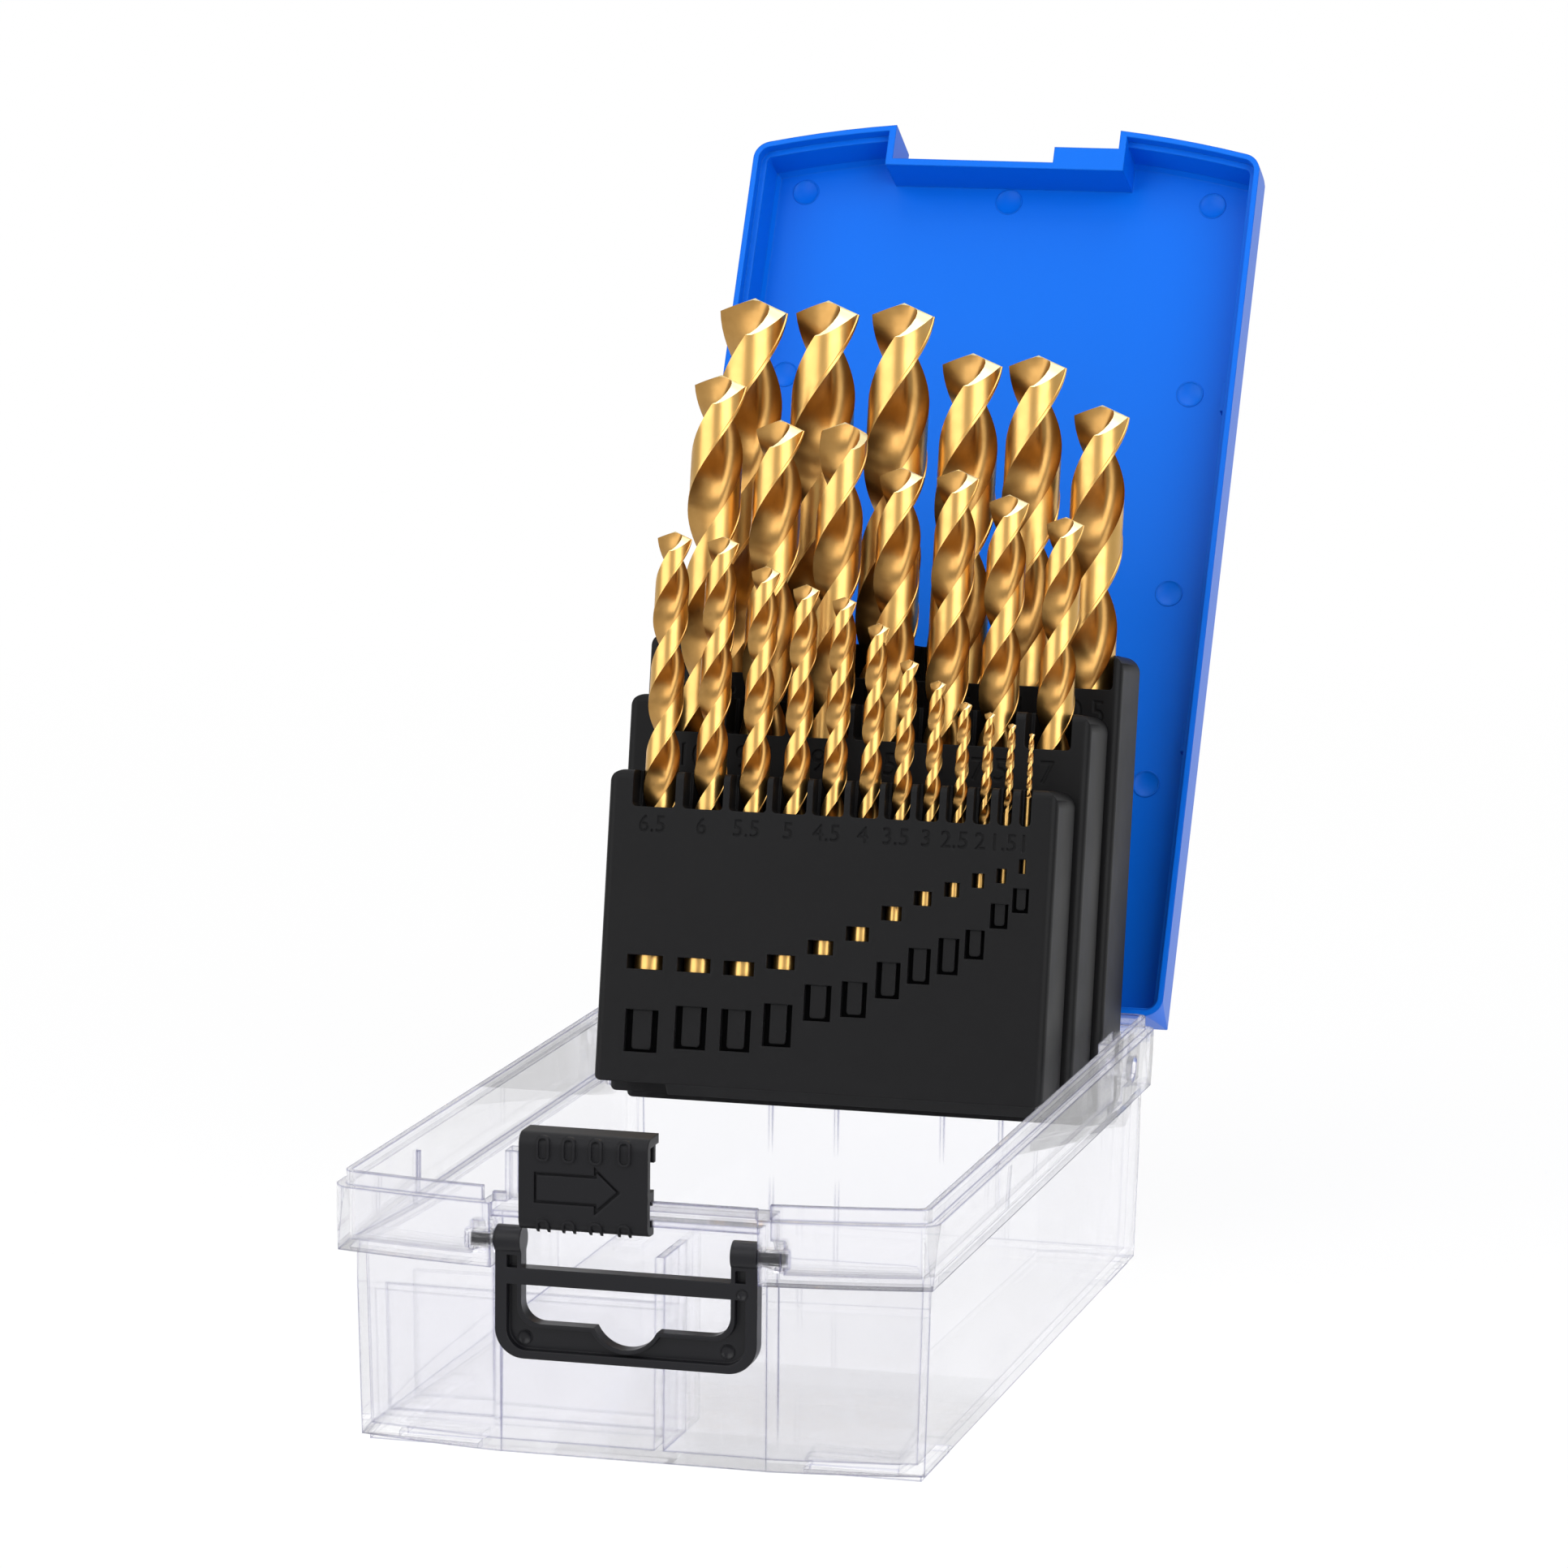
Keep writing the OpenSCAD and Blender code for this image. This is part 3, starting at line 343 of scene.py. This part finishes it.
# Each holder's drills, the height of its numbers, and how far below the top they stand
rows = {"holder_front": ([6.5, 6, 5.5, 5, 4.5, 4, 3.5, 3, 2.5, 2, 1.5, 1], 3.2 * MM, 8.1 * MM),
        "holder_middle": ([10, 9.5, 9, 8.5, 8, 7.5, 7], 4.4 * MM, 8.6 * MM),
        "holder_back": ([13, 12.5, 12, 11.5, 11, 10.5], 4.4 * MM, 8.6 * MM)}
for node, (row, height, down) in rows.items():
    labels = []
    for size in row:
        text = f"{size:g}"
        spot = drill_spot("drill_" + text.replace(".", "_"))
        labels.append((text, spot[0]))
    sizes_cut(node, labels, height, down)

# Twist drills: ground high-speed steel with a gold coating. Two flutes wind to the right round a thin
# web, and the point is ground to two lips that meet in a chisel edge.
def piece(name, verts, faces, material, body, replaced=()):
    """A mesh object that rides on a body and stands for some CAD nodes."""
    mesh = bpy.data.meshes.new(name)
    mesh.from_pydata([tuple(v) for v in verts], [], faces)
    mesh.validate()
    mesh.materials.append(material)
    obj = bpy.data.objects.new(name, mesh)
    bpy.context.scene.collection.objects.link(obj)
    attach(obj, body)
    if replaced:
        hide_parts(*replaced)
    return obj


def coating(name, light, dark, roughness, bump):
    """A polished gold coating with faint clouds and fine grinding marks round the drill."""
    material, tree, shader = nodes_of(name)
    shader.inputs["Metallic"].default_value = 1.0
    place = add(tree, "ShaderNodeTexCoord")
    cloud = add(tree, "ShaderNodeTexNoise", Scale=350.0, Detail=4.0)
    tint = add(tree, "ShaderNodeMix", data_type="RGBA")
    tint.inputs[6].default_value = light
    tint.inputs[7].default_value = dark
    turn = add(tree, "ShaderNodeMapping")
    turn.inputs["Rotation"].default_value = (math.radians(10), 0, 0)
    turn.inputs["Scale"].default_value = (0.3, 0.3, 3.0)
    marks = add(tree, "ShaderNodeTexNoise", Scale=1500.0, Detail=2.0)
    lines = add(tree, "ShaderNodeBump", Strength=bump, Distance=0.00003)
    gloss = add(tree, "ShaderNodeMapRange")
    gloss.inputs["To Min"].default_value = roughness - 0.06
    gloss.inputs["To Max"].default_value = roughness + 0.06
    tree.links.new(place.outputs["Object"], cloud.inputs["Vector"])
    tree.links.new(cloud.outputs[0], tint.inputs[0])
    tree.links.new(tint.outputs[2], shader.inputs["Base Color"])
    tree.links.new(cloud.outputs[0], gloss.inputs[0])
    tree.links.new(gloss.outputs[0], shader.inputs["Roughness"])
    tree.links.new(place.outputs["Object"], turn.inputs["Vector"])
    tree.links.new(turn.outputs[0], marks.inputs["Vector"])
    tree.links.new(marks.outputs[0], lines.inputs["Height"])
    tree.links.new(lines.outputs["Normal"], shader.inputs["Normal"])
    return material


gold = coating("gold_coating", (0.74, 0.46, 0.15, 1), (0.64, 0.37, 0.11, 1), 0.32, 0.04)
# Painted shade: the flutes' gold is a darker copy of the lands' coating, for the shade in their hollows
flute_painted_shade_gold = coating("gold_flutes", (0.50, 0.29, 0.095, 1), (0.34, 0.18, 0.05, 1), 0.34, 0.15)
# Painted highlight: the point's gold is a paler copy of the lands' coating, for the light on the ground
# flanks
point_painted_highlight_gold = coating("gold_point", (1.0, 0.90, 0.52, 1), (1.0, 0.84, 0.44, 1), 0.4, 0.15)

# Angles of a land, of the flutes to the drill's line, and of the lips to it
LAND = math.radians(70)
HELIX = math.radians(33)
POINT = math.radians(67.5)
# Half the web, the lip's inner end, the land behind its margin and the flank's fall, as shares of the radius
WEB = 0.15
WEB_END = -0.16
HEEL = 0.965
FLANK = 0.785
# Shares of the land at which its margin starts to rise and is full
MARGIN_FOOT = 0.91
MARGIN_TOP = 0.925
# Shares of the way from the lip to the heel at which the flank starts and stops falling
FALL_START = 0.1
FALL_END = 0.9
# Points on the land before its margin, then steps round half of the outline: over the land, along the lip,
# and round the flute
HEEL_POINTS = 7
LAND_STEPS = HEEL_POINTS + 2
LIP_STEPS = 5
FLUTE_STEPS = 9
HALF = LAND_STEPS + LIP_STEPS + FLUTE_STEPS
# Share of a drill's length that is fluted, and the plain length taken off it
FLUTED = 0.76
PLAIN = 14 * MM
# Rings in one turn of the flutes, the least number of rings, and the chamfer of a shank's end
TURN_RINGS = 40
LEAST_RINGS = 24
CHAMFER = 0.03
SHANK_END = 0.93


def half_outline():
    """Half of the cross-section, as (x, y, flank, round angle): heel to lip, and round the flute."""
    points = [(LAND * k / HEEL_POINTS, HEEL, 1 - k / HEEL_POINTS) for k in range(HEEL_POINTS)]
    points += [(LAND * MARGIN_FOOT, HEEL, 1 - MARGIN_FOOT), (LAND * MARGIN_TOP, 1.0, 1 - MARGIN_TOP),
               (LAND, 1.0, 0)]
    outline = [(q * math.cos(a), q * math.sin(a), s, a) for a, q, s in points]
    tilt = LAND - math.asin(WEB)
    heel = (HEEL * math.cos(math.pi - tilt), HEEL * math.sin(math.pi - tilt))
    rise = heel[1] - WEB
    radius = ((heel[0] - WEB_END) ** 2 + rise ** 2) / (2 * rise)
    last = math.atan2(rise - radius, heel[0] - WEB_END)
    reach = math.cos(math.asin(WEB))
    flute = [(reach + (WEB_END - reach) * k / LIP_STEPS, WEB, 0) for k in range(1, LIP_STEPS + 1)]
    for k in range(1, FLUTE_STEPS):
        a = 1.5 * math.pi + (last - 1.5 * math.pi) * k / FLUTE_STEPS
        flank = points[LAND_STEPS - k][2]
        flute.append((WEB_END + radius * math.cos(a), WEB + radius * (1 + math.sin(a)), flank))
    for k, (u, v, s) in enumerate(flute):
        x = u * math.cos(tilt) - v * math.sin(tilt)
        y = u * math.sin(tilt) + v * math.cos(tilt)
        outline.append((x, y, s, LAND + (math.pi - LAND) * (k + 1) / (LIP_STEPS + FLUTE_STEPS)))
    return outline


def flank_drop(share):
    """How far the ground flank lies below the lip, as a share of the radius."""
    u = min(max((share - FALL_START) / (FALL_END - FALL_START), 0), 1)
    return FLANK * u * u * (3 - 2 * u)


def drill_mesh(diameter, length, fluted, lip):
    """Vertices and faces of one drill along Z, standing on its shank, with its lip at an angle."""
    r = diameter / 2
    half = half_outline()
    outline = half + [(-x, -y, s, a + math.pi) for x, y, s, a in half]
    n = len(outline)
    pitch = math.pi * diameter / math.tan(HELIX)
    start = length - fluted
    rings = max(LEAST_RINGS, int(fluted / pitch * TURN_RINGS))
    spin = lip - LAND - 2 * math.pi * (length - r / math.tan(POINT)) / pitch
    verts, faces = [], []
    for z, share in ((0, SHANK_END), (CHAMFER * diameter, 1), (start, 1)):
        for x, y, s, a in outline:
            turn = a + spin + 2 * math.pi * start / pitch
            verts.append((share * r * math.cos(turn), share * r * math.sin(turn), z))
    for k in range(1, rings + 1):
        for x, y, s, a in outline:
            q = math.hypot(x, y)
            end = length - q * r / math.tan(POINT) - flank_drop(s) * q * r
            z = start + (end - start) * k / rings
            deep = math.sin(min(1, (z - start) / diameter) * math.pi / 2)
            u = r * (math.cos(a) + (x - math.cos(a)) * deep)
            v = r * (math.sin(a) + (y - math.sin(a)) * deep)
            turn = spin + 2 * math.pi * z / pitch
            c, d = math.cos(turn), math.sin(turn)
            verts.append((u * c - v * d, u * d + v * c, z))
    layers = len(verts) // n
    kinds = []
    for k in range(layers - 1):
        for i in range(n):
            j = (i + 1) % n
            faces.append((k * n + i, k * n + j, (k + 1) * n + j, (k + 1) * n + i))
            kinds.append(0 if k < 2 or i % HALF < LAND_STEPS else 1)
    faces.append(tuple(range(n - 1, -1, -1)))
    kinds.append(0)
    # The two ground flanks, each a ruled surface from the land's edge to the flute, and the chisel edge
    centre = len(verts)
    verts.append((0, 0, length))
    top = (layers - 1) * n
    for h in (0, 1):
        outer = [top + h * HALF + j for j in range(HALF)]
        inner = [outer[0]] + [top + (1 - h) * HALF + HALF - j for j in range(1, LAND_STEPS + 1)]
        ground = [(outer[0], outer[1], inner[1])]
        ground += [(outer[j], outer[j + 1], inner[j + 1], inner[j]) for j in range(1, LAND_STEPS)]
        ground.append((centre, inner[LAND_STEPS], outer[LAND_STEPS]))
        ground += [(centre, outer[j], outer[j + 1]) for j in range(LAND_STEPS, LAND_STEPS + LIP_STEPS)]
        faces += ground
        kinds += [2] * len(ground)
    return verts, faces, kinds


# The lips' angle in degrees, and small differences to it between the drills as they were dropped in
LIP_TURN = 5
turned = {"13": 4, "12_5": -5, "12": 2, "9_5": -7, "9": 36, "8_5": -2}
for name, node in list(nodes.items()):
    if not name.startswith("drill_"):
        continue
    size = name.removeprefix("drill_")
    diameter = float(size.replace("_", ".")) * MM
    x, low, high = drill_spot(name)
    shank = [Vector(v.co) for v in node.data.vertices if Vector(v.co).dot(up) < low + 0.01 * MM]
    depth = sum(p.dot(back) for p in shank) / len(shank)
    foot = Vector((x, 0, 0)) + up * low + back * depth
    place = Matrix((Vector((1, 0, 0)), back, up)).transposed()
    lip = math.radians(LIP_TURN + turned.get(size, 0))
    length = high - low
    verts, faces, kinds = drill_mesh(diameter, length, length * FLUTED - PLAIN, lip)
    drill = piece(name + "_twisted", [place @ Vector(v) + foot for v in verts], faces, gold,
                  "magazine", (name,))
    drill.data.materials.append(flute_painted_shade_gold)
    drill.data.materials.append(point_painted_highlight_gold)
    drill.data.polygons.foreach_set("material_index", kinds)
    drill.data.polygons.foreach_set("use_smooth", [True] * len(drill.data.polygons))
    drill.data.set_sharp_from_angle(angle=math.radians(24))

# Lid: one moulding of blue polypropylene with a step round its rim that takes the base's lip. It turns on
# the hinge pin, and its notch and catch are for the latch.
blue, tree, shader = nodes_of("blue_polypropylene")
shader.inputs["Roughness"].default_value = 0.36
shader.inputs["Specular IOR Level"].default_value = 0.14
place = add(tree, "ShaderNodeTexCoord")
cloud = add(tree, "ShaderNodeTexNoise", Scale=9.0, Detail=3.0)
tint = add(tree, "ShaderNodeMix", data_type="RGBA")
tint.inputs[6].default_value = (0.0, 0.135, 0.69, 1)
tint.inputs[7].default_value = (0.0, 0.118, 0.63, 1)
stretch = add(tree, "ShaderNodeMapping")
stretch.inputs["Scale"].default_value = (1.0, 0.18, 0.18)
flow = add(tree, "ShaderNodeTexNoise", Scale=900.0, Detail=4.0)
bumps = add(tree, "ShaderNodeBump", Strength=0.35, Distance=0.00005)
tree.links.new(place.outputs["Object"], cloud.inputs["Vector"])
tree.links.new(cloud.outputs[0], tint.inputs[0])
tree.links.new(tint.outputs[2], shader.inputs["Base Color"])
tree.links.new(place.outputs["Object"], stretch.inputs["Vector"])
tree.links.new(stretch.outputs[0], flow.inputs["Vector"])
tree.links.new(flow.outputs[0], bumps.inputs["Height"])
rounded(tree, shader, 0.4 * MM, bumps)
dressed("lid", blue)


def discs(spots, normal, radius, height):
    """Low round marks with a rounded rim, each given by its centre on a flat face."""
    u = normal.orthogonal().normalized()
    v = normal.cross(u)
    profile = [(1.0, -0.4), (1.0, 0.35), (0.985, 0.8), (0.96, 1.0), (0.93, 0.9), (0.90, 0.45), (0.86, 0.3)]
    n = 40
    verts, faces = [], []
    for spot in spots:
        start = len(verts)
        for share, up_share in profile:
            for k in range(n):
                a = 2 * math.pi * k / n
                out = (u * math.cos(a) + v * math.sin(a)) * radius * share
                verts.append(spot + out + normal * height * up_share)
        last = start + (len(profile) - 1) * n
        for ring in range(start, last, n):
            for k in range(n):
                j = (k + 1) % n
                faces.append((ring + k, ring + j, ring + n + j, ring + n + k))
        faces.append(tuple(range(last, last + n)))
        faces.append(tuple(range(start + n - 1, start - 1, -1)))
    return verts, faces


def marked(name, verts, faces, material, body):
    """A piece of such marks, smooth round their rims."""
    obj = piece(name, verts, faces, material, body)
    obj.data.polygons.foreach_set("use_smooth", [len(p.vertices) == 4 for p in obj.data.polygons])
    obj.data.set_sharp_from_angle(angle=math.radians(50))


# Round marks that the ejector pins left on the lid's inner floor, each placed from the lid's rear edge while
# it is closed, and turned open about the hinge
HINGE = Vector((0, 44.835, 44.3)) * MM
REAR_EDGE = 42.4
INNER_FLOOR = 56.2
OPEN = math.radians(-117.3)
swing = Matrix.Rotation(OPEN, 3, "X")
marks = [(-42.8, 172.2), (-0.6, 171.3), (40.9, 171.7), (-42, 132.6), (40.8, 131.4), (41.3, 89.5),
         (41.2, 50.1)]
spots = [swing @ (Vector((x, REAR_EDGE - s, INNER_FLOOR)) * MM - HINGE) + HINGE for x, s in marks]
verts, faces = discs(spots, swing @ Vector((0, 0, -1)), 2.75 * MM, 0.1 * MM)
marked("lid_ejector_marks", verts, faces, blue, "lid")

# Latch: a black C-shaped slider, moulded with a fine grain. It clips over the bead of the base's rail and
# is pushed along it over the lid's catch.
grained, tree, shader = nodes_of("grained_black_plastic")
shader.inputs["Base Color"].default_value = (0.005, 0.005, 0.0065, 1)
shader.inputs["Specular IOR Level"].default_value = 0.2
shader.inputs["Roughness"].default_value = 0.44
place = add(tree, "ShaderNodeTexCoord")
grain = add(tree, "ShaderNodeTexNoise", Scale=3200.0, Detail=2.0)
bumps = add(tree, "ShaderNodeBump", Strength=0.35, Distance=0.00006)
tree.links.new(place.outputs["Object"], grain.inputs["Vector"])
tree.links.new(grain.outputs[0], bumps.inputs["Height"])
rounded(tree, shader, 0.5 * MM, bumps)
dressed("latch_slider", grained)

# Carry handle: a smooth black moulding with ribs round its hollow front. It swings on two pegs of its own,
# which are sprung into the base's bosses.
satin, tree, shader = nodes_of("satin_black_plastic")
shader.inputs["Base Color"].default_value = (0.005, 0.005, 0.007, 1)
shader.inputs["Specular IOR Level"].default_value = 0.25
shader.inputs["Roughness"].default_value = 0.3
place = add(tree, "ShaderNodeTexCoord")
grain = add(tree, "ShaderNodeTexNoise", Scale=1200.0, Detail=3.0)
bumps = add(tree, "ShaderNodeBump", Strength=0.1, Distance=0.00004)
tree.links.new(place.outputs["Object"], grain.inputs["Vector"])
tree.links.new(grain.outputs[0], bumps.inputs["Height"])
rounded(tree, shader, 0.4 * MM, bumps)
dressed("carry_handle", satin)
# Two ejector marks in its hollow, and a smaller one on its right side bar
FRONT = Vector((0, -1, 0))
RIM = 0.14 * MM
spots = [Vector((-17.7, -137.08, 22.1)) * MM, Vector((17.2, -137.08, 22.1)) * MM]
verts, faces = discs(spots, FRONT, 1.3 * MM, RIM)
more, more_faces = discs([Vector((19.9, -138.58, 32.2)) * MM], FRONT, 1.0 * MM, RIM)
faces += [tuple(i + len(verts) for i in face) for face in more_faces]
marked("handle_ejector_marks", verts + more, faces, satin, "handle")
